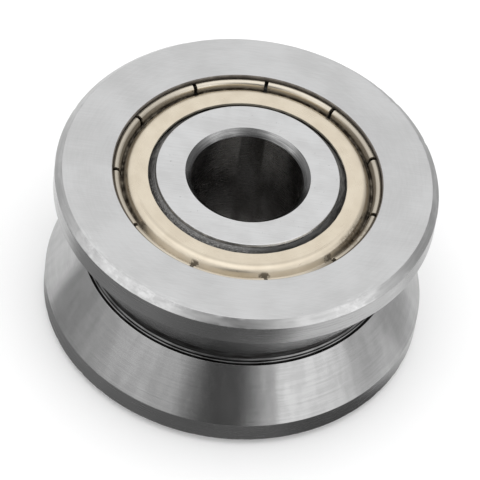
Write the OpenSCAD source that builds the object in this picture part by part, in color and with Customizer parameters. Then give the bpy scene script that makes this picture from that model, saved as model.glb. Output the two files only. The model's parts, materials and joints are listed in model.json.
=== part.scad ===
// V groove guide wheel: a double row ball bearing whose outer ring is turned as a V grooved wheel.
// Millimetres. The axis is +Z and the origin is the middle of the wheel.
// The hub (inner ring) stays still on its axle; the wheel turns round it on two rows of balls.

/* [Wheel] */
// Outside diameter of the wheel
wheel_od = 41; // [38:0.5:60]
// Width of the wheel between its two flat faces
wheel_width = 20; // [19.6:0.2:30]
// Size of the 45 degree bevel at each rim
rim_bevel = 0.75; // [0.2:0.05:1.2]
// Width of the cylindrical land beside each bevel
rim_land = 2.3; // [1:0.1:3.5]
// Included angle of the V groove, in degrees
v_angle = 120; // [105:1:150]
// Width of the relief groove at the bottom of the V
relief_width = 2; // [1:0.1:3]
// Depth of the relief groove below the flanks of the V
relief_depth = 0.5; // [0.2:0.05:0.9]
// Corner radius in the bottom of the relief groove
relief_fillet = 0.15; // [0.05:0.01:0.18]
// Edge break round the mouth of each shield recess
recess_break = 0.1; // [0.02:0.01:0.2]

/* [Hub] */
// Diameter of the bore that the axle goes through
bore_d = 12; // [8:0.5:14]
// Size of the 45 degree chamfer at each end of the bore
bore_chamfer = 0.7; // [0.2:0.05:1.2]
// Outside diameter of the hub beside its raceways
hub_d = 19.8; // [18.6:0.1:20.6]
// How far the hub stands out beyond each face of the wheel
hub_proud = 0.15; // [0:0.05:0.6]
// Edge break round each face of the hub
hub_break = 0.1; // [0.05:0.05:0.5]

/* [Balls] */
// Diameter of the balls
ball_d = 6.35; // [5.5:0.05:6.8]
// Balls in each row
ball_count = 7; // [5:1:8]
// Radial clearance between a ball and each raceway
race_clear = 0.05; // [0.03:0.01:0.1]
// Radius of the raceway groove, as a share of the ball diameter
race_ratio = 0.52; // [0.515:0.005:0.54]
// Inside diameter of the wheel beside its raceways
land_d = 27.8; // [27:0.1:28.4]

/* [Cages] */
// Thickness of the cage sheet
cage_t = 0.5; // [0.3:0.05:0.6]
// Radial width of the cage ribbon
cage_width = 2.3; // [1.8:0.1:2.8]
// Clearance between a ball and its pocket
pocket_clear = 0.1; // [0.08:0.01:0.2]
// Free space between the cages of the two rows
cage_gap = 0.65; // [0.4:0.05:1]
// Diameter of the rivet shanks
rivet_d = 0.8; // [0.6:0.05:1]
// Diameter of the rivet heads
rivet_head_d = 1.5; // [1.3:0.05:1.7]
// Height of the rivet heads
rivet_head_h = 0.35; // [0.2:0.05:0.5]
// Radial clearance round a rivet shank
rivet_clear = 0.05; // [0.03:0.01:0.08]

/* [Shields] */
// Thickness of the shield sheet
shield_t = 0.3; // [0.2:0.02:0.36]
// Radial gap between the hub and the shield
shield_gap = 0.7; // [0.3:0.05:1.1]
// Depth of the flat part of the shield below the wheel face
plate_drop = 0.33; // [0.2:0.01:0.5]
// Depth of the pressed channel below the wheel face
channel_drop = 1.3; // [1.1:0.05:1.4]
// Depth of the crest of the crimped rim below the wheel face
crest_drop = 0.4; // [0.3:0.05:0.6]
// Depth of the foot of the crimped rim, where it stands on its seat
foot_drop = 1.5; // [1.45:0.01:1.6]
// Height of the step from the raceway land to the wall of the recess
seat_step = 0.48; // [0.44:0.01:0.7]
// How far the crimped rim reaches under the edge of the recess
crimp_reach = 0.1; // [0.06:0.01:0.16]
// Radial clearance round the crimped rim
crimp_clear = 0.02; // [0.01:0.01:0.05]
// Bend radius where the flat part turns down, on the middle of the sheet
shoulder_bend = 0.8; // [0.6:0.05:0.9]
// Bend radius at the bottom of the channel, on the middle of the sheet
channel_bend = 0.3; // [0.25:0.01:0.35]
// Bend radius of the crimped rim, on the middle of the sheet
curl_bend = 0.3; // [0.25:0.01:0.36]
// Slope of the wall from the flat part down to the channel, in degrees
shoulder_slope = 60; // [50:1:70]
// Slope of the wall from the channel up to the crimped rim, in degrees
curl_slope = 75; // [65:1:80]
// Slits that let the rim be crimped
slit_count = 11; // [6:1:16]
// Width of the slits
slit_width = 0.4; // [0.2:0.02:0.6]
// Angle of the first slit round the wheel
slit_phase = 22.4; // [0:0.1:60]

/* [Hidden] */
$fn = 96;
bend_steps = 8;
overcut = 1;

wheel_r = wheel_od / 2;
face_z = wheel_width / 2;
flank_z = face_z - rim_bevel - rim_land;
relief_z = relief_width / 2;
flank_foot_r = wheel_r - (flank_z - relief_z) / tan(v_angle / 2);

bore_r = bore_d / 2;
hub_r = hub_d / 2;
hub_z = face_z + hub_proud;

ball_r = ball_d / 2;
land_r = land_d / 2;
pitch_r = (hub_r + land_r) / 2;
race_r = ball_d * race_ratio;
hub_race_r = pitch_r - ball_r - race_clear + race_r;
wheel_race_r = pitch_r + ball_r + race_clear - race_r;

pocket_r = ball_r + pocket_clear;
row_z = pocket_r + cage_t + cage_gap / 2;
ball_step = 360 / ball_count;

seat_r = land_r + seat_step;
crimp_r = seat_r + crimp_reach;
seat_z = face_z - foot_drop;
plate_z = face_z - plate_drop - shield_t / 2;
shield_bore_r = hub_r + shield_gap;

// Centres of the three bends of the shield, worked inwards from the crimped rim.
curl_c = [crimp_r - shield_t / 2 - curl_bend, face_z - crest_drop - shield_t / 2 - curl_bend];
channel_z = face_z - channel_drop - shield_t / 2 + channel_bend;
channel_c = [curl_c[0] - bend_span(channel_bend + curl_bend, curl_c[1] - channel_z, curl_slope), channel_z];
shoulder_z = plate_z - shoulder_bend;
shoulder_c = [channel_c[0] - bend_span(shoulder_bend + channel_bend, shoulder_z - channel_z, shoulder_slope),
              shoulder_z];

// Height at which the curl leaves the edge of the recess, and the groove under that edge ends.
curl_outer = curl_bend + shield_t / 2;
lip_z = curl_c[1] + sqrt(pow(curl_outer, 2) - pow(seat_r - curl_c[0], 2)) + crimp_clear;

ROWS = ["upper", "lower"];
BALLS = [for (row = ROWS, k = [1:ball_count]) str(row, "_ball_", k)];

// Distance along r between the centres of two opposite bends joined by a straight wall of that slope;
// radii is the sum of the two bend radii and rise is how much higher the centre of the convex bend lies.
function bend_span(radii, rise, slope) = (radii + rise * cos(slope)) / sin(slope);

// Points of an arc round a centre, from one angle to another.
function arc(centre, radius, from, to) =
    [for (i = [0:bend_steps])
        let (a = from + (to - from) * i / bend_steps)
        centre + radius * [cos(a), sin(a)]];

// One side of the bent shield sheet, at a distance above its middle surface.
function shield_side(above) = concat(
    [[shield_bore_r, plate_z + above]],
    arc(shoulder_c, shoulder_bend + above, 90, 90 - shoulder_slope),
    arc(channel_c, channel_bend - above, 270 - shoulder_slope, 270 + curl_slope),
    arc(curl_c, curl_bend + above, 90 + curl_slope, 0),
    [[curl_c[0] + curl_bend + above, seat_z]]);

function reversed(list) = [for (i = [len(list) - 1:-1:0]) list[i]];

// A section that is the same above and below the middle plane, from the points of its upper half.
function mirrored(half) = concat(half, [for (p = reversed(half)) [p[0], -p[1]]]);

// Lays the children on the upper or the lower side of the wheel.
module on_side(row) {
    mirror([0, 0, row == "upper" ? 0 : 1]) children();
}

// Frame of one row: its ball plane at height 0. The lower row is turned half a step from the upper one.
module in_row(row) {
    on_side(row) rotate([0, 0, row == "upper" ? 0 : ball_step / 2]) translate([0, 0, row_z]) children();
}

module at_ball(k) {
    rotate([0, 0, (k - 1 / 2) * ball_step]) translate([pitch_r, 0, 0]) children();
}

module at_every_ball() {
    for (k = [1:ball_count]) at_ball(k) children();
}

module between_balls() {
    for (k = [1:ball_count]) rotate([0, 0, k * ball_step]) translate([pitch_r, 0, 0]) children();
}

module both_sides() {
    children();
    mirror([0, 1]) children();
}

// Section of the relief groove at the bottom of the V, with rounded bottom corners.
module relief_section() {
    floor_r = flank_foot_r - relief_depth;
    translate([floor_r + relief_fillet, -relief_z])
        square([relief_depth + overcut - relief_fillet, relief_width]);
    translate([floor_r, -relief_z + relief_fillet])
        square([relief_depth + overcut, relief_width - 2 * relief_fillet]);
    both_sides() translate([floor_r + relief_fillet, relief_z - relief_fillet])
        circle(r = relief_fillet);
}

// The wheel: V groove and rims outside, two raceways and the seats of the shields inside.
module outer_ring() {
    color([0.76, 0.76, 0.77]) rotate_extrude() difference() {
        polygon(mirrored([
            [land_r, seat_z],
            [crimp_r + crimp_clear, seat_z],
            [crimp_r + crimp_clear, lip_z],
            [seat_r, lip_z],
            [seat_r, face_z - recess_break],
            [seat_r + recess_break, face_z],
            [wheel_r - rim_bevel, face_z],
            [wheel_r, face_z - rim_bevel],
            [wheel_r, flank_z],
            [flank_foot_r, relief_z]
        ]));
        relief_section();
        both_sides() translate([wheel_race_r, row_z]) circle(r = race_r);
    }
}

// The hub: one ring with the bore for the axle and both inner raceways.
module inner_ring() {
    color([0.8, 0.8, 0.81]) rotate_extrude() difference() {
        polygon(mirrored([
            [bore_r, hub_z - bore_chamfer],
            [bore_r + bore_chamfer, hub_z],
            [hub_r - hub_break, hub_z],
            [hub_r, hub_z - hub_break]
        ]));
        both_sides() translate([hub_race_r, row_z]) circle(r = race_r);
    }
}

// Pressed shield, crimped into the wheel: flat ring, channel and a slit rim that curls over.
module shield(row) {
    color([0.86, 0.81, 0.72]) on_side(row) difference() {
        rotate_extrude() polygon(concat(shield_side(shield_t / 2), reversed(shield_side(-shield_t / 2))));
        for (i = [0:slit_count - 1])
            rotate([0, 0, slit_phase + i * 360 / slit_count])
                translate([channel_c[0], -slit_width / 2, seat_z - overcut])
                    cube([crimp_r - channel_c[0] + overcut, slit_width, foot_drop + overcut]);
    }
}

module ball(row, k) {
    color([0.85, 0.85, 0.87]) in_row(row) at_ball(k) sphere(r = ball_r);
}

// Ring with the radial width of the cage ribbon, from one height to another.
module cage_band(low, high) {
    translate([0, 0, low]) difference() {
        cylinder(r = pitch_r + cage_width / 2, h = high - low);
        translate([0, 0, -overcut])
            cylinder(r = pitch_r - cage_width / 2, h = high - low + 2 * overcut);
    }
}

// Pressed half of a ribbon cage, above the ball plane: cups over the balls, and flats for the rivets.
module cage_half() {
    difference() {
        union() {
            cage_band(0, cage_t);
            intersection() {
                cage_band(0, pocket_r + cage_t + overcut);
                at_every_ball() sphere(r = pocket_r + cage_t);
            }
        }
        at_every_ball() sphere(r = pocket_r);
        between_balls() translate([0, 0, -overcut])
            cylinder(d = rivet_d + 2 * rivet_clear, h = cage_t + 2 * overcut);
    }
}

// The half that faces the shield.
module cage_outer(row) {
    color([0.7, 0.68, 0.64]) in_row(row) cage_half();
}

// The half that faces the other row.
module cage_inner(row) {
    color([0.7, 0.68, 0.64]) in_row(row) mirror([0, 0, 1]) cage_half();
}

// The rivets of one cage, headed on both sides of its flats.
module cage_rivets(row) {
    color([0.72, 0.7, 0.68]) in_row(row) between_balls() rotate_extrude() polygon(mirrored([
        [0, cage_t + rivet_head_h],
        [rivet_d / 2, cage_t + rivet_head_h],
        [rivet_head_d / 2, cage_t + rivet_head_h / 2],
        [rivet_head_d / 2, cage_t],
        [rivet_d / 2, cage_t]
    ]));
}

outer_ring();
inner_ring();
for (row = ROWS) {
    shield(row);
    cage_outer(row);
    cage_inner(row);
    cage_rivets(row);
    for (k = [1:ball_count])
        ball(row, k);
}
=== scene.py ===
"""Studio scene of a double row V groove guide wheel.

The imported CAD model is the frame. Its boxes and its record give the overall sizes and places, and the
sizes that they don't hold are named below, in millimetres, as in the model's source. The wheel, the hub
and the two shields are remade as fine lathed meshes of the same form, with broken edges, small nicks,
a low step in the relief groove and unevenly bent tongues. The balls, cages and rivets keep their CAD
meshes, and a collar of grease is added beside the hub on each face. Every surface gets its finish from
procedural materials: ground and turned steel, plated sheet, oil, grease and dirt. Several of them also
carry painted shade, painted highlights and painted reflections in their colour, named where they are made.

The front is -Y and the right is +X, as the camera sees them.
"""
import json
import math
from collections import namedtuple

import bpy
from mathutils import Matrix, Vector, noise


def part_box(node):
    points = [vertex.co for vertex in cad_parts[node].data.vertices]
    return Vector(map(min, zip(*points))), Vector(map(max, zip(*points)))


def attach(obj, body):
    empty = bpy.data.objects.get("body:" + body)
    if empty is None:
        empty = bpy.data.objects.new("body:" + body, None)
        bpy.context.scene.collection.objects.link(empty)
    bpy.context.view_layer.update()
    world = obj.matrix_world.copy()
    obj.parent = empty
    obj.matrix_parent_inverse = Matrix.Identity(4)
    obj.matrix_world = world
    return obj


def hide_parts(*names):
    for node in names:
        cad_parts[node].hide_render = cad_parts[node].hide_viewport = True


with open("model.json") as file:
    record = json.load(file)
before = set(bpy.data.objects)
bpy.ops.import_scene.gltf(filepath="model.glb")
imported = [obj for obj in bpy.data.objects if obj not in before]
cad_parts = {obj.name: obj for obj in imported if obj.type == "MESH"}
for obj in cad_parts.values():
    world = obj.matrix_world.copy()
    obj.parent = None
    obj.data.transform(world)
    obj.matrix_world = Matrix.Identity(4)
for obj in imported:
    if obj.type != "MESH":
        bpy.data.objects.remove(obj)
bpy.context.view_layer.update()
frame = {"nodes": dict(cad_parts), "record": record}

MM = 0.001

# Sizes from the frame, in millimetres.
wheel_low, wheel_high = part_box("outer_ring")
hub_low, hub_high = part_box("inner_ring")
shield_low, shield_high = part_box("upper_shield")
bore_mount = next(m for m in frame["record"]["mounts"] if m["name"] == "bore")

WHEEL_R = -wheel_low.x / MM
FACE_Z = wheel_high.z / MM
HUB_R = -hub_low.x / MM
HUB_Z = hub_high.z / MM
BORE_R = bore_mount["dims"]["r_mm"]
CRIMP_R = -shield_low.x / MM
SEAT_Z = shield_low.z / MM
PLATE_TOP = shield_high.z / MM

# Wheel.
RIM_BEVEL = 0.75
RIM_LAND = 2.3
V_ANGLE = math.radians(120)
RELIEF_HALF = 1.0
RELIEF_DEPTH = 0.5
# Low step near each side of the relief groove, left by the turning tool.
STEP_HEIGHT = 0.10
STEP_FROM = 0.46
STEP_TO = 0.64
LAND_R = 13.9
SEAT_STEP = 0.48
RECESS_BREAK = 0.1
CRIMP_CLEAR = 0.02
# How far from an edge of a rim its nicks reach, and how deep they can be.
NICK_REACH = 0.25
NICK_DEPTH = 0.12
WHEEL_COLUMNS = 480
FLANK_Z = FACE_Z - RIM_BEVEL - RIM_LAND
FLANK_FOOT_R = WHEEL_R - (FLANK_Z - RELIEF_HALF) / math.tan(V_ANGLE / 2)
SEAT_R = LAND_R + SEAT_STEP

# Hub, balls and raceways.
BORE_CHAMFER = 0.7
HUB_BREAK = 0.1
HUB_COLUMNS = 360
BALL_R = 3.175
RACE_CLEAR = 0.05
RACE_RATIO = 0.52
RACE_R = 2 * BALL_R * RACE_RATIO
PITCH_R = 11.9
ROW_Z = 4.1

# Grease beside the hub: how deep it lies below the shield, how far its surface dips there and climbs
# towards the hub, and how high its lumps are.
GREASE_DEPTH = 0.6
GREASE_DIP = 0.25
GREASE_CLIMB = 0.7
GREASE_LUMPS = 0.05
GREASE_COLUMNS = 480
# Where it is wiped off, and where the hub beside it gets a painted highlight: an angle to the right of the
# front.
WIPED_AND_HIGHLIT_BEARING = math.radians(27)

# Shields.
SHEET = 0.3
CREST_DROP = 0.4
CHANNEL_DROP = 1.3
SHOULDER_BEND = 0.8
CHANNEL_BEND = 0.3
CURL_BEND = 0.3
SHOULDER_SLOPE = math.radians(60)
CURL_SLOPE = math.radians(75)
SLITS = 11
SLIT_WIDTH = 0.4
SLIT_PHASE = math.radians(22.4)
SHIELD_BORE_R = 10.6
# Waves of the crimped rim, and of the sheared inner edge.
RIM_WAVE = 0.03
EDGE_WAVE = 0.04
# Middle of the brown smear on the shoulder of the upper shield.
SMEAR_PLACE = (11.6, -5.6, 9.3)
# How much lower than the drawing each tongue of the crimped rim has come out, from the first slit on.
TONGUE_DROPS = (-0.06, -0.08, -0.06, -0.07, -0.05, -0.03, 0.04, 0.12, 0.19, 0.03, -0.04)


def bend_span(radii, rise, slope):
    """Distance along r between the centres of two opposite bends joined by a straight wall."""
    return (radii + rise * math.cos(slope)) / math.sin(slope)


CURL_R = CRIMP_R - SHEET / 2 - CURL_BEND
CURL_Z = FACE_Z - CREST_DROP - SHEET / 2 - CURL_BEND
CHANNEL_Z = FACE_Z - CHANNEL_DROP - SHEET / 2 + CHANNEL_BEND
CHANNEL_R = CURL_R - bend_span(CHANNEL_BEND + CURL_BEND, CURL_Z - CHANNEL_Z, CURL_SLOPE)
PLATE_Z = PLATE_TOP - SHEET / 2
SHOULDER_Z = PLATE_Z - SHOULDER_BEND
SHOULDER_R = CHANNEL_R - bend_span(SHOULDER_BEND + CHANNEL_BEND, SHOULDER_Z - CHANNEL_Z, SHOULDER_SLOPE)
LIP_Z = CURL_Z + math.sqrt((CURL_BEND + SHEET / 2) ** 2 - (SEAT_R - CURL_R) ** 2) + CRIMP_CLEAR


# Mesh making ------------------------------------------------------------------------------------------

# One corner of a lathed section: its place, the radius of its broken edge, and the finish of the
# surface that follows it.
Corner = namedtuple("Corner", "r z round finish")


def new_piece(name, points, faces, materials, finishes=None):
    """A mesh object from points in millimetres."""
    mesh = bpy.data.meshes.new(name)
    mesh.from_pydata([(x * MM, y * MM, z * MM) for x, y, z in points], [], faces)
    for material in materials:
        mesh.materials.append(material)
    if finishes:
        mesh.polygons.foreach_set("material_index", finishes)
    mesh.shade_smooth()
    piece = bpy.data.objects.new(name, mesh)
    bpy.context.scene.collection.objects.link(piece)
    return piece


def arc(centre_r, centre_z, radius, start, end, steps):
    """Points of an arc in the section plane, angles in radians."""
    return [
        (centre_r + radius * math.cos(a), centre_z + radius * math.sin(a))
        for a in (start + (end - start) * i / steps for i in range(steps + 1))
    ]


def broken_edges(corners, steps=4, margin=0.03):
    """The closed section with each corner rounded, and a narrow margin beside each rounding.

    The margins keep the shading of the flat surfaces flat.
    """
    outline = []
    for i, corner in enumerate(corners):
        here = Vector((corner.r, corner.z))
        before = corners[i - 1]
        back = Vector((before.r, before.z)) - here
        ahead = Vector((corners[(i + 1) % len(corners)].r, corners[(i + 1) % len(corners)].z)) - here
        if not corner.round:
            outline.append((here, corner.finish))
            continue
        half = back.angle(ahead) / 2
        reach = corner.round / math.tan(half)
        back.normalize()
        ahead.normalize()
        centre = here + (back + ahead).normalized() * corner.round / math.sin(half)
        first, last = here + back * reach, here + ahead * reach
        outline.append((first + back * margin, before.finish))
        for k in range(steps + 1):
            t = k / steps
            spoke = (first - centre).slerp(last - centre, t) * corner.round
            outline.append((centre + spoke, before.finish if t < 0.5 else corner.finish))
        outline.append((last + ahead * margin, corner.finish))
    return outline


def lathe(name, outline, columns, materials, wear=None):
    """Turns a closed section round the axis. wear moves the point of a row by its angle."""
    rows = len(outline)
    points, faces, finishes = [], [], []
    for c in range(columns):
        angle = 2 * math.pi * c / columns
        for place, _ in outline:
            r, z = wear(place, angle) if wear else place
            points.append((r * math.cos(angle), r * math.sin(angle), z))
    for c in range(columns):
        after = (c + 1) % columns
        for i, (_, finish) in enumerate(outline):
            j = (i + 1) % rows
            faces.append((c * rows + i, after * rows + i, after * rows + j, c * rows + j))
            finishes.append(finish)
    return new_piece(name, points, faces, materials, finishes)


def flat_rings(start, end, reach):
    """Rings a little way in from both ends of a flat surface, so that nicks leave its shading flat."""
    line = Vector((end.r - start.r, end.z - start.z))
    gap = 0.05
    rings = []
    for distance in (reach, reach + gap, line.length - reach - gap, line.length - reach):
        place = Vector((start.r, start.z)) + line.normalized() * distance
        rings.append(Corner(place.x, place.y, 0.0, start.finish))
    return rings


def mirrored(corners):
    """A section that is the same above and below the middle plane, from the corners of its upper half."""
    lower = []
    for i in range(len(corners) - 1, -1, -1):
        finish = corners[i - 1].finish if i else corners[-1].finish
        lower.append(Corner(corners[i].r, -corners[i].z, corners[i].round, finish))
    return corners + lower


# Materials --------------------------------------------------------------------------------------------


class Finish:
    """The node tree of one material, with short calls that add nodes and link them."""

    def __init__(self, name):
        self.material = bpy.data.materials.new(name)
        self.material.use_nodes = True
        self.tree = self.material.node_tree
        self.surface = self.tree.nodes["Principled BSDF"]
        self.place = self.node("TexCoord").outputs["Object"]
        self.mm = self.vector("SCALE", self.place, scale=1 / MM)
        self.x, self.y, self.z = self.node("SeparateXYZ", {"Vector": self.mm}).outputs
        self.r = self.maths("SQRT", self.plus(self.times(self.x, self.x), self.times(self.y, self.y)))

    def node(self, kind, inputs=None, **settings):
        """A new node of a kind, with its settings, and its inputs set to values or linked."""
        made = self.tree.nodes.new("ShaderNode" + kind)
        for key, value in settings.items():
            setattr(made, key, value)
        for key, value in (inputs or {}).items():
            self.feed(made.inputs[key], value)
        return made

    def feed(self, socket, value):
        if isinstance(value, bpy.types.NodeSocket):
            self.tree.links.new(value, socket)
        else:
            socket.default_value = value

    def maths(self, operation, a, b=0.0, clamp=False):
        return self.node("Math", {0: a, 1: b}, operation=operation, use_clamp=clamp).outputs[0]

    def plus(self, a, b):
        return self.maths("ADD", a, b)

    def minus(self, a, b):
        return self.maths("SUBTRACT", a, b)

    def times(self, a, b):
        return self.maths("MULTIPLY", a, b)

    def over(self, a, b):
        return self.maths("DIVIDE", a, b)

    def larger(self, a, b):
        return self.maths("MAXIMUM", a, b)

    def size(self, a):
        """The value without its sign."""
        return self.maths("ABSOLUTE", a)

    def vector(self, operation, a, b=None, scale=None):
        inputs = {0: a}
        if b is not None:
            inputs[1] = b
        if scale is not None:
            inputs["Scale"] = scale
        return self.node("VectorMath", inputs, operation=operation).outputs[0]

    def noise(self, vector, scale, detail=2.0, roughness=0.5):
        """Cloudy noise between 0 and 1, mostly near 0.5."""
        inputs = {"Vector": vector, "Scale": scale, "Detail": detail, "Roughness": roughness}
        return self.node("TexNoise", inputs).outputs["Fac"]

    def ramp(self, value, low, high, to_low=0.0, to_high=1.0):
        """The value, eased from one range to another."""
        inputs = {"Value": value, "From Min": low, "From Max": high, "To Min": to_low, "To Max": to_high}
        return self.node("MapRange", inputs, interpolation_type="SMOOTHSTEP").outputs["Result"]

    def mix(self, factor, a, b):
        """Blends two colours."""
        made = self.node("Mix", data_type="RGBA")
        self.feed(made.inputs["Factor"], factor)
        self.feed(made.inputs[6], a)
        self.feed(made.inputs[7], b)
        return made.outputs[2]

    def scaled(self, x, y, z):
        """Coordinates in millimetres, stretched by a scale of their own on each axis."""
        return self.vector("MULTIPLY", self.mm, (x, y, z))

    def ring(self, around, across, lean=1.37):
        """Coordinates that run round the axis slowly and across the section fast, with no seam.

        lean is the share of z in them: negative for a surface that falls as it leads outwards.
        """
        turn_x = self.times(self.over(self.x, self.r), around)
        turn_y = self.times(self.over(self.y, self.r), around)
        section = self.times(self.plus(self.r, self.times(self.z, lean)), across)
        return self.node("CombineXYZ", {"X": turn_x, "Y": turn_y, "Z": section}).outputs[0]

    def bump(self, height, distance):
        """Relief of a surface, with its depth in millimetres."""
        inputs = {"Height": height, "Distance": distance * MM, "Strength": 1.0}
        return self.node("Bump", inputs).outputs["Normal"]

    def shine(self, colour, roughness, normal=None, metallic=1.0):
        """Sets the surface: metal unless said otherwise."""
        self.feed(self.surface.inputs["Metallic"], metallic)
        self.feed(self.surface.inputs["Base Color"], colour)
        self.feed(self.surface.inputs["Roughness"], roughness)
        if normal is not None:
            self.feed(self.surface.inputs["Normal"], normal)

    def grain_round_axis(self, amount):
        """Stretches reflections across grinding lines that run round the axis."""
        tangent = self.node("Tangent", direction_type="RADIAL", axis="Z").outputs[0]
        self.feed(self.surface.inputs["Tangent"], tangent)
        self.surface.inputs["Anisotropic"].default_value = amount
        self.surface.inputs["Anisotropic Rotation"].default_value = 0.25


def grey(value, warm=0.0):
    """A grey, or with warm a slightly brown one."""
    return (value * (1 + warm), value, value * (1 - warm), 1.0)


def scuffs(f):
    """Ragged bright scuffs along the upper rim: a long stretch at the front left, a short one opposite."""
    bearing = f.maths("ARCTAN2", f.x, f.times(f.y, -1.0))
    left = f.times(f.ramp(bearing, -1.15, -0.85), f.ramp(bearing, -0.02, -0.35))
    right = f.times(f.ramp(bearing, 0.50, 0.62, 0.0, 0.8), f.ramp(bearing, 0.92, 0.80))
    stretch = f.times(f.larger(left, right), f.ramp(f.z, 8.0, 9.0))
    near = f.times(stretch, f.ramp(f.r, WHEEL_R - 1.6, WHEEL_R - RIM_BEVEL))
    ragged = f.noise(f.ring(15.0, 4.5), 1.0, 5.0, 0.75)
    return f.times(near, f.ramp(ragged, 0.42, 0.66))


def ground_face():
    """Surface ground steel: even and pale, with faint straight scratches and fine pits."""
    f = Finish("ground_face")
    cloud = f.noise(f.mm, 0.16, 3.0)
    straight = f.noise(f.scaled(0.25, 7.0, 1.0), 1.0, 3.0, 0.6)
    lines = f.noise(f.ring(9.0, 5.0), 1.0, 2.0, 0.6)
    marks = f.plus(f.ramp(straight, 0.25, 0.75, -0.35, 0.35), f.ramp(lines, 0.3, 0.7, -0.2, 0.2))
    shade = f.plus(f.ramp(cloud, 0.3, 0.7, -0.6, 0.6), marks)
    colour = f.mix(f.ramp(shade, -1.2, 1.2), grey(0.44), grey(0.52, -0.004))
    pits = f.ramp(f.noise(f.mm, 3.1, 2.0, 0.7), 0.70, 0.76)
    colour = f.mix(f.times(pits, 0.35), colour, grey(0.28))
    colour = f.mix(f.times(scuffs(f), 0.5), colour, grey(0.72))
    roughness = f.ramp(shade, -1.2, 1.2, 0.40, 0.30)
    height = f.plus(f.times(straight, 0.5), f.times(lines, 0.5))
    normal = f.bump(height, 0.004)
    f.shine(colour, roughness, normal)
    return f.material


def ground_flank():
    """Cylindrically ground steel of the V: brighter and darker lines round the axis."""
    f = Finish("ground_flank")
    lines = f.noise(f.ring(3.0, 9.0), 1.0, 3.0, 0.65)
    broad = f.noise(f.ring(14.0, 0.35), 1.0, 2.0)
    shade = f.plus(f.ramp(lines, 0.25, 0.75, -0.5, 0.5), f.ramp(broad, 0.3, 0.7, -0.5, 0.5))
    colour = f.mix(f.ramp(shade, -1.0, 1.0), grey(0.36), grey(0.45))
    roughness = f.ramp(lines, 0.3, 0.7, 0.22, 0.18)
    normal = f.bump(lines, 0.0008)
    f.shine(colour, roughness, normal)
    f.grain_round_axis(0.7)
    return f.material


def turned_bevel():
    """Bevels at the rims: streaks round the axis, and bright nicks."""
    f = Finish("turned_bevel")
    lines = f.noise(f.ring(5.0, 12.0), 1.0, 3.0, 0.7)
    streaks = f.noise(f.ring(7.0, 3.5), 1.0, 2.0, 0.6)
    nicks = f.ramp(f.noise(f.mm, 2.3, 3.0, 0.6), 0.66, 0.72)
    colour = f.mix(f.ramp(lines, 0.3, 0.7), grey(0.39), grey(0.46))
    colour = f.mix(f.ramp(streaks, 0.45, 0.7, 0.0, 0.6), colour, grey(0.56))
    colour = f.mix(f.times(nicks, 0.5), colour, grey(0.7))
    colour = f.mix(f.times(scuffs(f), 0.55), colour, grey(0.68))
    roughness = f.ramp(streaks, 0.35, 0.65, 0.28, 0.34)
    f.shine(colour, roughness, f.bump(f.plus(lines, streaks), 0.002))
    f.grain_round_axis(0.4)
    return f.material


def turned_land():
    """Cylindrical lands of the rims: fine turned steel with lines round the axis."""
    f = Finish("turned_land")
    lines = f.noise(f.ring(4.0, 7.0), 1.0, 3.0, 0.65)
    stretch = f.noise(f.ring(3.0, 0.1), 1.0, 2.0)
    shade = f.plus(f.ramp(lines, 0.3, 0.7, -0.5, 0.5), f.ramp(stretch, 0.3, 0.7, -0.5, 0.5))
    colour = f.mix(f.ramp(shade, -1.0, 1.0), grey(0.34), grey(0.44))
    f.shine(colour, f.ramp(lines, 0.3, 0.7, 0.28, 0.2), f.bump(lines, 0.003))
    f.grain_round_axis(0.6)
    return f.material


def relief_bottom():
    """Relief groove at the bottom of the V: dark with old oil and painted shade, and paler on its steps."""
    f = Finish("relief_bottom")
    grime_and_shade = f.noise(f.ring(7.0, 2.0), 1.0, 3.0, 0.5)
    lines = f.noise(f.ring(2.0, 9.0), 1.0, 2.0, 0.5)
    height = f.size(f.z)
    slope = f.times(f.ramp(height, STEP_FROM - 0.04, STEP_FROM + 0.02),
                    f.ramp(height, STEP_TO + 0.04, STEP_TO - 0.02))
    fillet_edge = FLANK_FOOT_R - RELIEF_DEPTH + STEP_HEIGHT
    fillet = f.times(f.ramp(height, RELIEF_HALF - 0.13, RELIEF_HALF - 0.08),
                     f.ramp(f.r, fillet_edge + 0.14, fillet_edge + 0.08))
    paler_steps_and_corner = f.larger(slope, fillet)
    # Painted shade together with old oil: the groove is nearly black, and paler on its steps and top
    # corners.
    colour = f.mix(f.ramp(grime_and_shade, 0.3, 0.7), (0.026, 0.025, 0.023, 1.0), grey(0.09))
    colour = f.mix(paler_steps_and_corner, colour, f.mix(f.ramp(grime_and_shade, 0.3, 0.6), grey(0.13), grey(0.24)))
    f.shine(colour, f.ramp(lines, 0.3, 0.7, 0.34, 0.22), f.bump(lines, 0.003))
    return f.material


def recess_wall():
    """Recess of the shield and the raceways: fine turned steel, brown with dried oil above the lip, and
    almost black as painted shade between the seat and the lip.
    """
    f = Finish("recess_wall")
    height = f.size(f.z)
    lines = f.noise(f.ring(4.0, 14.0), 1.0, 2.0, 0.6)
    stain = f.noise(f.ring(12.0, 1.0), 1.0, 3.0, 0.6)
    steel = f.mix(f.ramp(lines, 0.3, 0.7), grey(0.30, 0.03), grey(0.42, 0.03))
    dried = f.mix(f.ramp(stain, 0.35, 0.65), (0.10, 0.088, 0.076, 1.0), (0.17, 0.152, 0.132, 1.0))
    above_lip = f.ramp(height, LIP_Z - 0.05, LIP_Z)
    shaded = f.ramp(height, SEAT_Z - 0.1, SEAT_Z)
    # Painted shade: almost black between the seat and the lip, deep behind the crimped rim.
    shade_below_lip = f.maths("SUBTRACT", shaded, above_lip, clamp=True)
    colour = f.mix(shade_below_lip, f.mix(above_lip, steel, dried), (0.02, 0.017, 0.014, 1.0))
    metallic = f.minus(1.0, f.times(shaded, 0.8))
    f.shine(colour, f.ramp(above_lip, 0.0, 1.0, 0.3, 0.55), f.bump(lines, 0.004), metallic)
    return f.material


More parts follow.
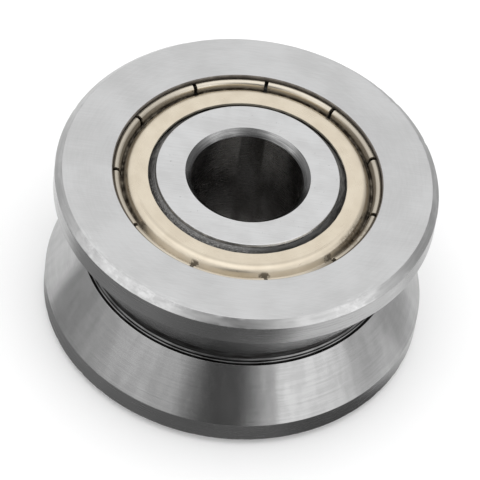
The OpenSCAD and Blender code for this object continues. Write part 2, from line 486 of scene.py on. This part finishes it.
def hub_face():
    """Ground face of the hub: the palest steel, with a few specks."""
    f = Finish("hub_face")
    cloud = f.noise(f.mm, 0.35, 3.0)
    straight = f.noise(f.scaled(0.3, 9.0, 1.0), 1.0, 2.0, 0.6)
    shade = f.plus(f.ramp(cloud, 0.3, 0.7, -0.5, 0.5), f.ramp(straight, 0.3, 0.7, -0.4, 0.4))
    colour = f.mix(f.ramp(shade, -1.0, 1.0), grey(0.475), grey(0.555, -0.004))
    specks = f.ramp(f.noise(f.mm, 2.6, 2.0, 0.7), 0.69, 0.74)
    colour = f.mix(f.times(specks, 0.5), colour, grey(0.22))
    f.shine(colour, f.ramp(shade, -1.0, 1.0, 0.38, 0.30), f.bump(straight, 0.003))
    return f.material


def bore_chamfer():
    """Chamfer of the bore: turned, with streaks round it, and painted shade towards the bore and at both
    sides of its back.
    """
    f = Finish("bore_chamfer")
    lines = f.noise(f.ring(2.0, 9.0), 1.0, 4.0, 0.7)
    height = f.ramp(f.size(f.z), HUB_Z - BORE_CHAMFER, HUB_Z - 0.2)
    shade = f.plus(f.ramp(lines, 0.35, 0.65, -0.6, 0.6), height)
    # Painted shade: the chamfer is darker towards the bore.
    colour = f.mix(f.ramp(shade, -0.6, 1.6), grey(0.05), grey(0.34))
    # Painted shade: darker at the left and right of the back of the chamfer.
    film = f.times(f.ramp(f.size(f.x), 3.8, 5.6), f.ramp(f.y, -0.8, 0.8))
    colour = f.mix(f.times(film, 0.55), colour, grey(0.05))
    f.shine(colour, f.ramp(lines, 0.3, 0.7, 0.24, 0.15), f.bump(lines, 0.005))
    f.grain_round_axis(0.5)
    return f.material


def bore_wall():
    """Bore: ground, dark with protective oil and painted shade, and with two paler strips of painted
    reflection along its back.
    """
    f = Finish("bore_wall")
    side, height = f.size(f.x), f.size(f.z)
    lines = f.noise(f.ring(5.0, 10.0), 1.0, 2.0, 0.6)
    film = f.noise(f.ring(3.0, 0.15), 1.0, 3.0)
    colour = f.mix(f.ramp(film, 0.35, 0.65), grey(0.15, 0.06), grey(0.34, 0.03))
    # Painted shade: darker towards the middle of the bore's length.
    colour = f.mix(f.ramp(height, 7.5, 1.0, 0.0, 0.75), colour, grey(0.06, 0.06))
    # Painted reflections: two paler strips along the back of the bore.
    painted_reflection_strips = f.times(f.ramp(side, 1.15, 1.45), f.ramp(side, 4.5, 3.2))
    painted_reflection_strips = f.times(painted_reflection_strips, f.ramp(f.y, 0.5, 3.0))
    painted_reflection_strips = f.times(painted_reflection_strips, f.ramp(height, 2.0, 9.5))
    colour = f.mix(f.times(painted_reflection_strips, f.ramp(film, 0.3, 0.6, 0.6, 0.95)), colour, grey(0.80, 0.03))
    f.shine(colour, f.ramp(lines, 0.3, 0.7, 0.30, 0.24), f.bump(lines, 0.0015))
    f.grain_round_axis(0.5)
    return f.material


def wiped_and_highlit(f):
    """The part of the round where the grease is cleared off the hub, and where the hub gets a painted
    highlight.
    """
    along = f.minus(f.times(f.x, math.sin(WIPED_AND_HIGHLIT_BEARING)), f.times(f.y, math.cos(WIPED_AND_HIGHLIT_BEARING)))
    return f.ramp(f.over(along, f.r), 0.86, 0.96)


def hub_side():
    """Outside of the hub beside the shield: turned steel, thinly greased, with the grease cleared in one
    place, where the steel is painted much paler as a highlight.
    """
    f = Finish("hub_side")
    film = f.noise(f.mm, 1.6, 4.0, 0.65)
    lines = f.noise(f.ring(6.0, 10.0), 1.0, 2.0, 0.6)
    colour = f.mix(f.ramp(lines, 0.3, 0.7), grey(0.30), grey(0.42))
    colour = f.mix(f.ramp(film, 0.35, 0.65, 0.0, 0.7), colour, grey(0.12))
    # Painted highlight: much paler steel where the grease is off.
    colour = f.mix(wiped_and_highlit(f), colour, grey(0.66))
    f.shine(colour, f.ramp(film, 0.4, 0.6, 0.3, 0.5), f.bump(film, 0.01))
    return f.material


def dusty_grease():
    """Bearing grease that has crept up beside the hub: dark, painted darker at the front and paler at the
    back as shade and light, and dusty at the front left.
    """
    f = Finish("dusty_grease")
    dust = f.noise(f.ring(10.0, 2.6, -1.37), 1.0, 4.0, 0.65)
    streak = f.noise(f.ring(34.0, 6.0, -1.37), 1.0, 4.0, 0.7)
    dusty = f.times(f.ramp(f.y, 2.0, -8.0), f.ramp(f.x, 4.0, 0.0))
    # Painted shade and light: the grease is darker at the front and paler at the back.
    shaded_front_grease = f.mix(f.ramp(dust, 0.36, 0.64), (0.014, 0.014, 0.013, 1.0), (0.050, 0.048, 0.046, 1.0))
    lit_back_grease = f.mix(f.ramp(dust, 0.36, 0.64), (0.060, 0.058, 0.055, 1.0), (0.15, 0.146, 0.14, 1.0))
    colour = f.mix(f.ramp(f.y, -3.0, 4.0), shaded_front_grease, lit_back_grease)
    streaks = f.times(f.ramp(streak, 0.46, 0.62), dusty)
    at_hub = f.times(f.ramp(f.r, HUB_R + 0.4, HUB_R + 0.1, 0.0, 0.4), dusty)
    colour = f.mix(f.larger(streaks, at_hub), colour, (0.25, 0.245, 0.24, 1.0))
    height = f.times(f.plus(dust, streak), dusty)
    f.shine(colour, f.ramp(dust, 0.3, 0.7, 0.34, 0.55), f.bump(height, 0.03), metallic=0.0)
    return f.material


def beside_slits(f):
    """Ragged patches round the slits of the crimped rim, where dirt gathers."""
    turn = f.minus(f.maths("ARCTAN2", f.y, f.x), SLIT_PHASE)
    turn = f.maths("FRACT", f.plus(f.over(turn, 2 * math.pi / SLITS), 0.5))
    away = f.size(f.minus(turn, 0.5))
    ragged = f.ramp(f.noise(f.mm, 2.4, 3.0, 0.6), 0.3, 0.7, -0.035, 0.035)
    return f.ramp(f.plus(away, ragged), 0.070, 0.030)


def smear(f):
    """A brown smear with bright specks, on the shoulder of the upper shield at one place of the round."""
    away = f.node("VectorMath", {0: f.mm, 1: SMEAR_PLACE}, operation="DISTANCE").outputs["Value"]
    specks = f.noise(f.mm, 3.4, 3.0, 0.65)
    patch = f.times(f.ramp(away, 2.9, 1.0), f.ramp(f.r, 12.3, 12.9))
    return f.times(patch, f.ramp(specks, 0.60, 0.40))


def channel_oil_and_shade(f, depth, front):
    """Oil that the channel of the shield holds, in streaks round the axis, with painted shade in its depth,
    and little of either at the front.
    """
    stain = f.noise(f.ring(16.0, 1.2), 1.0, 4.0, 0.65)
    held_oil_and_shade = f.times(f.ramp(depth, 0.36, 0.8), f.ramp(stain, 0.3, 0.6, 0.75, 1.0))
    return f.times(held_oil_and_shade, f.minus(1.0, f.times(front, 0.95)))


def crimp_dirt_and_shade(f, depth, crimp):
    """Painted shade on the crimped rim of the shield at the left and right and on its outside, and dirt
    round its slits.
    """
    # Painted shade: the rim is darker at the left and right.
    sides = f.ramp(f.size(f.x), 6.0, 12.0)
    rim = f.times(f.ramp(depth, 0.08, 0.24, 0.25, 1.0), f.times(crimp, sides))
    # Painted shade: the outer half of the curl is darker, except at the back.
    outside = f.times(f.ramp(f.r, CURL_R + 0.02, CURL_R + 0.14, 0.0, 0.85), f.ramp(f.y, 9.0, 2.0))
    at_slits = f.times(beside_slits(f), f.ramp(depth, 0.25, 0.5, 0.0, 0.8))
    return f.larger(rim, f.larger(outside, at_slits))


def plated_shield():
    """Cream yellow plating on pressed sheet: brown with oil and painted shade in the channel, dull where it
    is sheared.
    """
    f = Finish("plated_shield")
    depth = f.minus(PLATE_TOP, f.size(f.z))
    front = f.ramp(f.y, -6.5, -11.0)
    crimp = f.ramp(f.r, CHANNEL_R + 0.1, CHANNEL_R + 0.4)
    cloud = f.noise(f.mm, 0.5, 3.0)
    lines = f.noise(f.ring(5.0, 9.0), 1.0, 2.0, 0.6)
    channel = channel_oil_and_shade(f, depth, front)
    # Oil and dirt together with the painted shade of the channel and the rim.
    grime_and_shade = f.larger(channel, crimp_dirt_and_shade(f, depth, crimp))
    sheared = f.ramp(f.r, SHIELD_BORE_R + 0.07, SHIELD_BORE_R + 0.02)
    # Painted shade: a thin dark ring at the front between the plate and the shoulder.
    crease_shade = f.times(f.ramp(f.r, 11.85, 12.1), f.ramp(f.r, 12.45, 12.2))
    crease_shade = f.times(crease_shade, f.ramp(f.y, -3.0, -8.0, 0.0, 0.13))
    # Painted shade: darkest at the bottom of the channel.
    bottom = f.times(f.ramp(depth, 0.6, 0.95), channel)
    # The oil colour also serves as painted shade in the channel and in the crease.
    oil = f.mix(bottom, (0.06, 0.044, 0.026, 1.0), (0.016, 0.011, 0.006, 1.0))
    colour = f.mix(f.ramp(cloud, 0.3, 0.7), (0.565, 0.500, 0.400, 1.0), (0.620, 0.555, 0.450, 1.0))
    # Worn plating and painted sheen: the crimped rim is greyer, least at the front.
    grey_wear_and_sheen = f.times(crimp, f.ramp(front, 0.0, 1.0, 0.45, 0.1))
    colour = f.mix(grey_wear_and_sheen, colour, (0.50, 0.475, 0.425, 1.0))
    colour = f.mix(grime_and_shade, colour, oil)
    colour = f.mix(f.times(smear(f), 0.6), colour, (0.115, 0.085, 0.05, 1.0))
    colour = f.mix(f.times(sheared, 0.8), colour, (0.27, 0.25, 0.21, 1.0))
    colour = f.mix(crease_shade, colour, oil)
    dull = f.larger(grime_and_shade, sheared)
    roughness = f.plus(f.ramp(lines, 0.3, 0.7, 0.27, 0.33), f.times(dull, 0.3))
    normal = f.bump(f.plus(lines, f.noise(f.mm, 2.2, 3.0)), 0.005)
    # At the front the slope beyond the shoulder is made less metallic, least in its middle, so that it shows
    # paler: painted light.
    slope = f.times(f.ramp(depth, 0.14, 0.30), front)
    slope = f.times(slope, f.ramp(f.size(f.x), 0.3, 3.5, 0.25, 0.8))
    less_metal = f.larger(f.times(dull, 0.7), slope)
    f.shine(colour, roughness, normal, f.minus(1.0, less_metal))
    f.surface.inputs["Specular IOR Level"].default_value = 0.2
    return f.material


def polished_balls():
    """Hardened balls: mirror bright under a film of oil."""
    f = Finish("polished_balls")
    film = f.noise(f.mm, 0.8, 3.0)
    f.shine(f.mix(film, grey(0.6), grey(0.5, 0.04)), f.ramp(film, 0.3, 0.7, 0.08, 0.2))
    return f.material


def cage_sheet():
    """Pressed cage ribbon: dull strip steel with scuffs."""
    f = Finish("cage_sheet")
    scuffs = f.noise(f.mm, 1.4, 4.0, 0.6)
    f.shine(f.mix(scuffs, grey(0.42, 0.05), grey(0.26, 0.05)), f.ramp(scuffs, 0.3, 0.7, 0.32, 0.5),
            f.bump(scuffs, 0.01))
    return f.material


def rivet_metal():
    """Rivets: brighter than the cages, with peened heads."""
    f = Finish("rivet_metal")
    dents = f.noise(f.mm, 5.0, 2.0)
    f.shine(f.mix(dents, grey(0.5, 0.02), grey(0.38, 0.02)), 0.32, f.bump(dents, 0.02))
    return f.material


# Pieces -----------------------------------------------------------------------------------------------

def race(outer):
    """Corners of one raceway groove in the upper half, met going down on the hub and up on the wheel."""
    side = 1 if outer else -1
    middle = 0 if outer else math.pi
    edge_r = LAND_R if outer else HUB_R
    centre_r = PITCH_R + side * (BALL_R + RACE_CLEAR - RACE_R)
    reach = math.acos(side * (edge_r - centre_r) / RACE_R)
    return arc(centre_r, ROW_Z, RACE_R, middle - reach, middle + reach, 12)


def nicked(place, angle):
    """A point of the wheel's section, moved in where a small dent of the rim's edges is."""
    r, z = place
    from_land = abs(r - WHEEL_R) + abs(abs(z) - (FACE_Z - RIM_BEVEL))
    from_face = abs(r - (WHEEL_R - RIM_BEVEL)) + abs(abs(z) - FACE_Z)
    edge = max(0.0, 1 - min(from_land, from_face) / NICK_REACH)
    if not edge:
        return r, z
    spot = Vector((math.cos(angle), math.sin(angle), math.copysign(0.3, z))) * 28
    dent = max(0.0, noise.noise(spot) - 0.25) * NICK_DEPTH * edge
    return r - dent, z - math.copysign(dent, z) * 0.5


def make_wheel():
    """The wheel: one lathed section with a finish for each of its surfaces."""
    face, bevel, land, flank, relief, recess = range(6)
    relief_r = FLANK_FOOT_R - RELIEF_DEPTH
    step_r = relief_r + STEP_HEIGHT
    face_inside = Corner(SEAT_R + RECESS_BREAK, FACE_Z, 0.05, face)
    bevel_top = Corner(WHEEL_R - RIM_BEVEL, FACE_Z, 0.07, bevel)
    land_top = Corner(WHEEL_R, FACE_Z - RIM_BEVEL, 0.07, land)
    land_foot = Corner(WHEEL_R, FLANK_Z, 0.06, flank)
    half = [Corner(r, z, 0.0, recess) for r, z in race(True)]
    half += [
        Corner(LAND_R, SEAT_Z, 0.05, recess),
        Corner(CRIMP_R + CRIMP_CLEAR, SEAT_Z, 0.0, recess),
        Corner(CRIMP_R + CRIMP_CLEAR, LIP_Z, 0.0, recess),
        Corner(SEAT_R, LIP_Z, 0.0, recess),
        Corner(SEAT_R, FACE_Z - RECESS_BREAK, 0.03, recess),
        face_inside,
        *flat_rings(face_inside, bevel_top, NICK_REACH),
        bevel_top,
        *flat_rings(bevel_top, land_top, NICK_REACH),
        land_top,
        *flat_rings(land_top, land_foot, NICK_REACH),
        land_foot,
        Corner(FLANK_FOOT_R, RELIEF_HALF, 0.04, relief),
        Corner(step_r, RELIEF_HALF, 0.12, relief),
        Corner(step_r, STEP_TO, 0.04, relief),
        Corner(relief_r, STEP_FROM, 0.04, relief),
    ]
    outside = [ground_face(), turned_bevel(), turned_land(), ground_flank()]
    materials = outside + [relief_bottom(), recess_wall()]
    piece = lathe("wheel_steel", broken_edges(mirrored(half)), WHEEL_COLUMNS, materials, nicked)
    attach(piece, "wheel")
    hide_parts("outer_ring")


def make_hub():
    """The hub: bore, chamfers, faces, outside and raceways."""
    face, chamfer, bore, side = range(4)
    half = [
        Corner(BORE_R, HUB_Z - BORE_CHAMFER, 0.06, chamfer),
        Corner(BORE_R + BORE_CHAMFER, HUB_Z, 0.06, face),
        Corner(HUB_R - HUB_BREAK, HUB_Z, 0.12, side),
        Corner(HUB_R, HUB_Z - 3 * HUB_BREAK, 0.12, side),
    ]
    half += [Corner(r, z, 0.0, side) for r, z in race(False)]
    section = mirrored(half)
    section[-1] = section[-1]._replace(finish=bore)
    materials = [hub_face(), bore_chamfer(), bore_wall(), hub_side()]
    piece = lathe("hub_steel", broken_edges(section), HUB_COLUMNS, materials)
    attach(piece, "hub")
    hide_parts("inner_ring")


def make_grease(row, up, material):
    """A lumpy collar of grease round the hub, just below the inner edge of the shield."""
    inside, outside = HUB_R - 0.02, SHIELD_BORE_R + 0.05
    top = PLATE_TOP - SHEET
    foot = top - GREASE_DEPTH
    rings = 7
    section = []
    for i in range(rings + 1):
        out = i / rings
        r = HUB_R + (outside - HUB_R) * out
        section.append((r, top - GREASE_DIP + GREASE_CLIMB * (1 - out) ** 1.3))
    section += [(outside, foot), (inside, foot), (inside, section[0][1])]

    def lumps(place, angle):
        r, z = place
        spot = Vector((math.cos(angle) * 9, math.sin(angle) * 9, r * 2.2 + up))
        swell = noise.fractal(spot, 0.8, 2.2, 4) if r > HUB_R else 0.0
        near_wiped = max(0.0, math.cos(angle + math.pi / 2 - WIPED_AND_HIGHLIT_BEARING) - 0.9)
        gone = near_wiped * 2.2 if z > foot + 0.1 else 0.0
        return r, up * (z + GREASE_LUMPS * swell - gone)

    outline = [(place, 0) for place in section]
    piece = lathe(row + "_grease", outline, GREASE_COLUMNS, [material], lumps)
    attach(piece, "hub")


def shield_path():
    """Middle of the bent sheet, from its inner edge over the plate and the channel to the crimped foot.

    The number that comes with it is the row where the slits start, in the bend of the channel.
    """
    quarter = math.pi / 2
    channel_from, channel_to = 3 * quarter - SHOULDER_SLOPE, 3 * quarter + CURL_SLOPE
    plate = [(SHIELD_BORE_R + (SHOULDER_R - SHIELD_BORE_R) * i / 6, PLATE_Z) for i in range(6)]
    shoulder = arc(SHOULDER_R, SHOULDER_Z, SHOULDER_BEND, quarter, quarter - SHOULDER_SLOPE, 10)
    channel = arc(CHANNEL_R, CHANNEL_Z, CHANNEL_BEND, channel_from, channel_to, 12)
    curl = arc(CURL_R, CURL_Z, CURL_BEND, quarter + CURL_SLOPE, 0, 14)
    foot = [(CURL_R + CURL_BEND, SEAT_Z)]
    uncut_rows = 8
    return plate + shoulder + channel + curl + foot, len(plate + shoulder) + uncut_rows


def shield_columns():
    """Each column round the shield: its angle, the drop of its tongue, and if a slit follows it."""
    tongue_columns, slit_columns = 34, 2
    slit_half = SLIT_WIDTH / 2 / CURL_R
    tongue_angle = 2 * math.pi / SLITS - 2 * slit_half
    columns = []
    for k in range(SLITS):
        middle = SLIT_PHASE + 2 * math.pi * k / SLITS
        for i in range(slit_columns):
            drop = TONGUE_DROPS[k] if i else TONGUE_DROPS[k - 1]
            columns.append((middle - slit_half + 2 * slit_half * i / slit_columns, drop, True))
        for i in range(tongue_columns):
            angle = middle + slit_half + tongue_angle * i / tongue_columns
            columns.append((angle, TONGUE_DROPS[k], False))
    return columns


def thicken(piece):
    """Gives the bent sheet its thickness and breaks its sheared edges."""
    sheet = piece.modifiers.new("sheet", "SOLIDIFY")
    sheet.thickness = SHEET * MM
    sheet.offset = 0
    sheet.use_even_offset = True
    edge = piece.modifiers.new("sheared_edge", "BEVEL")
    edge.width = 0.03 * MM
    edge.segments = 2
    edge.limit_method = "ANGLE"
    edge.angle_limit = math.radians(50)
    edge.harden_normals = True


def make_shield(row, up, material):
    """A shield of bent sheet, whose slits cut the crimped rim into tongues."""
    path, slit_from = shield_path()
    rows = len(path)
    columns = shield_columns()
    points, faces = [], []
    for angle, drop, _ in columns:
        spoke = Vector((math.cos(angle), math.sin(angle), 0))
        rim_wave = RIM_WAVE * abs(noise.noise((spoke + Vector((0, 0, up))) * 2.3))
        edge_wave = EDGE_WAVE * noise.noise(spoke * 14)
        for i, (r, z) in enumerate(path):
            if i == 0:
                r += edge_wave
            if i > slit_from:
                r -= rim_wave * (i - slit_from) / (rows - slit_from)
            if i > slit_from and z > CHANNEL_Z:
                z -= drop * (z - CHANNEL_Z) / (CURL_Z + CURL_BEND - CHANNEL_Z)
            points.append((r * spoke.x, r * spoke.y, up * z))
    for c, (_, _, slit) in enumerate(columns):
        after = (c + 1) % len(columns)
        for i in range(slit_from if slit else rows - 1):
            quad = (c * rows + i, after * rows + i, after * rows + i + 1, c * rows + i + 1)
            faces.append(quad[::-1] if up > 0 else quad)
    piece = new_piece(row + "_shield_plate", points, faces, [material])
    thicken(piece)
    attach(piece, "wheel")
    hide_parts(row + "_shield")


def dress_bearings():
    """Materials of the balls, cages and rivets, which keep their CAD meshes."""
    finishes = {"ball": polished_balls(), "cage": cage_sheet(), "rivets": rivet_metal()}
    for name, node in frame["nodes"].items():
        kind = next((k for k in ("rivets", "ball", "cage") if k in name), None)
        if kind:
            node.data.materials.clear()
            node.data.materials.append(finishes[kind])


# Studio -----------------------------------------------------------------------------------------------

def aim(thing, place, target, roll=0.0):
    """Puts a lamp or the camera at a place, looking at a target, turned about its own line of sight."""
    turn = (target - place).to_track_quat("-Z", "Y").to_matrix()
    turn = turn @ Matrix.Rotation(roll, 3, "Z")
    thing.matrix_world = Matrix.Translation(place) @ turn.to_4x4()


def make_camera():
    """A camera with a long lens, above the front and turned a little about its own line of sight."""
    elevation, distance, roll = math.radians(48.25), 459.7, math.radians(8.43)
    target = Vector((0.16, -4.76, 4.94))
    data = bpy.data.cameras.new("camera")
    data.sensor_width = 36
    data.lens = 324.7
    data.clip_start, data.clip_end = 0.01, 20
    camera = bpy.data.objects.new("camera", data)
    bpy.context.scene.collection.objects.link(camera)
    rim = Vector((0, 0, FACE_Z - RIM_BEVEL))
    back = Vector((0, -math.cos(elevation), math.sin(elevation)))
    aim(camera, (rim + back * distance) * MM, target * MM, roll)
    bpy.context.scene.camera = camera


def rectangle(half, low, high, z=0):
    """Corners of a level rectangle, centred on the y axis."""
    return [(-half, low, z), (half, low, z), (half, high, z), (-half, high, z)]


def make_floor():
    """The plain pale floor that the lower hub face rests on."""
    f = Finish("pale_floor")
    f.shine((0.95, 0.95, 0.95, 1.0), 0.8, metallic=0.0)
    f.surface.inputs["Specular IOR Level"].default_value = 0.1
    reach = 3000
    floor = new_piece("floor", rectangle(reach, -reach, reach, -HUB_Z), [(0, 1, 2, 3)], [f.material])


def make_sky():
    """A white tent: brightest overhead, and dimmer towards the horizon."""
    world = bpy.data.worlds.new("tent")
    bpy.context.scene.world = world
    world.use_nodes = True
    tree = world.node_tree
    place = tree.nodes.new("ShaderNodeTexCoord")
    axes = tree.nodes.new("ShaderNodeSeparateXYZ")
    tree.links.new(place.outputs["Generated"], axes.inputs[0])

    def fade(low, high, to_low, to_high):
        made = tree.nodes.new("ShaderNodeMapRange")
        made.interpolation_type = "SMOOTHSTEP"
        for key, value in (("From Min", low), ("From Max", high), ("To Min", to_low), ("To Max", to_high)):
            made.inputs[key].default_value = value
        tree.links.new(axes.outputs["Z"], made.inputs["Value"])
        return made.outputs["Result"]

    total = tree.nodes.new("ShaderNodeMath")
    tree.links.new(fade(0.0, 0.6, 0.7, 1.2), total.inputs[0])
    tree.links.new(fade(0.8, 0.97, 0.0, 0.4), total.inputs[1])
    light = tree.nodes["Background"]
    light.inputs["Color"].default_value = (1.0, 1.0, 1.0, 1.0)
    tree.links.new(total.outputs[0], light.inputs["Strength"])


def make_flag(name, corners, place, turn, cover, glow):
    """A flag with soft edges, much darker than the tent, which only reflections show."""
    f = Finish(name)
    emission = f.node("Emission", {"Strength": glow(f)}).outputs[0]
    clear = f.node("BsdfTransparent").outputs[0]
    made = f.node("MixShader", {"Fac": cover(f), 1: clear, 2: emission}).outputs[0]
    f.tree.links.new(made, f.tree.nodes["Material Output"].inputs["Surface"])
    flag = new_piece(name, corners, [(0, 1, 2, 3)], [f.material])
    flag.matrix_world = Matrix.Translation(place) @ turn
    flag.visible_camera = False
    flag.visible_diffuse = False
    flag.visible_shadow = False


def make_standing_flag():
    """A narrow flag in front, wider at its top: the dark band that metal needs."""
    distance = 1000
    half, top = 0.7 * distance, 1.25 * distance
    low, middle = -0.4 * distance, 0.06 * distance

    def cover(f):
        off_axis = f.size(f.minus(f.x, middle))
        spread = f.ramp(f.y, 0.1 * distance, top, 0.40 * distance, 0.52 * distance)
        side = f.ramp(f.over(off_axis, spread), 1.08, 0.9)
        return f.times(side, f.ramp(f.y, 1.2 * distance, 0.85 * distance))

    def glow(f):
        left = f.ramp(f.x, -0.05 * distance, -0.36 * distance, 0.1, 0.5)
        return f.plus(left, f.ramp(f.x, 0.2 * distance, 0.45 * distance, 0.0, 0.4))

    place = Vector((0, -distance, 0)) * MM
    upright = Matrix.Rotation(math.pi / 2, 4, "X")
    make_flag("standing_flag", rectangle(half, low, top), place, upright, cover, glow)


def make_side_flag():
    """A pale flag on the right and a little behind."""
    bearing, distance = math.radians(122), 1000
    half, top, low = 0.6 * distance, 1.3 * distance, -0.4 * distance

    def cover(f):
        side = f.ramp(f.size(f.x), half, 0.25 * distance, 0.0, 0.75)
        return f.times(side, f.ramp(f.y, top, 0.9 * distance))

    def glow(f):
        return f.ramp(f.y, 0.0, top, 0.45, 0.6)

    place = Vector((math.sin(bearing), -math.cos(bearing), 0)) * distance * MM
    upright = Matrix.Rotation(bearing, 4, "Z") @ Matrix.Rotation(math.pi / 2, 4, "X")
    make_flag("side_flag", rectangle(half, low, top), place, upright, cover, glow)


def make_lying_flag():
    """A flag that lies in front of the wheel and close round its foot, and a paler one further out."""
    reach = 400

    def cover(f):
        slant = f.minus(f.times(f.x, 0.5), f.times(f.size(f.x), 0.2))
        front = f.ramp(f.plus(f.y, slant), -24, -29)
        front = f.times(front, f.ramp(f.x, 30, 20))
        foot = f.times(f.ramp(f.r, 28, 24), f.ramp(f.x, 22, 17))
        foot = f.times(foot, f.ramp(f.y, 2, -6))
        around = f.times(f.ramp(f.r, 40, 60, 0.0, 0.45), f.ramp(f.x, -8, 8))
        around = f.larger(around, f.ramp(f.r, 50, 300, 0.0, 0.45))
        right = f.times(f.ramp(f.x, 27, 33, 0.0, 0.5), f.ramp(f.y, -6, 2))
        return f.larger(f.larger(around, right), f.larger(front, foot))

    def glow(f):
        left = f.ramp(f.x, -60, -28, 0.14, 0.0)
        right = f.ramp(f.x, 7, 13, 0.0, 0.05)
        return f.minus(f.plus(f.ramp(f.x, -28, 2, 0.33, 0.17), left), right)

    place = Vector((0, 0, 0.3 - HUB_Z)) * MM
    make_flag("lying_flag", rectangle(reach, -reach, reach), place, Matrix(), cover, glow)


def make_lamp(name, azimuth, elevation, distance, size, power):
    """A square soft lamp round the object; azimuth 0 is in front, and 90 on the right."""
    data = bpy.data.lights.new(name, "AREA")
    data.size = size
    data.energy = power
    lamp = bpy.data.objects.new(name, data)
    bpy.context.scene.collection.objects.link(lamp)
    a, e = math.radians(azimuth), math.radians(elevation)
    place = Vector((math.sin(a) * math.cos(e), -math.cos(a) * math.cos(e), math.sin(e))) * distance
    aim(lamp, place, Vector((0, 0, 0)))
    lamp.visible_camera = False


make_camera()
make_wheel()
make_hub()
plating = plated_shield()
make_shield("upper", 1, plating)
make_shield("lower", -1, plating)
grease = dusty_grease()
make_grease("upper", 1, grease)
make_grease("lower", -1, grease)
dress_bearings()
make_floor()
make_sky()
make_standing_flag()
make_lying_flag()
make_side_flag()
make_lamp("right_box", 55, 10, 1.2, 0.95, 2.4)
make_lamp("left_box", -56, 26, 1.2, 0.9, 0.9)

bpy.context.scene.view_settings.view_transform = "Standard"
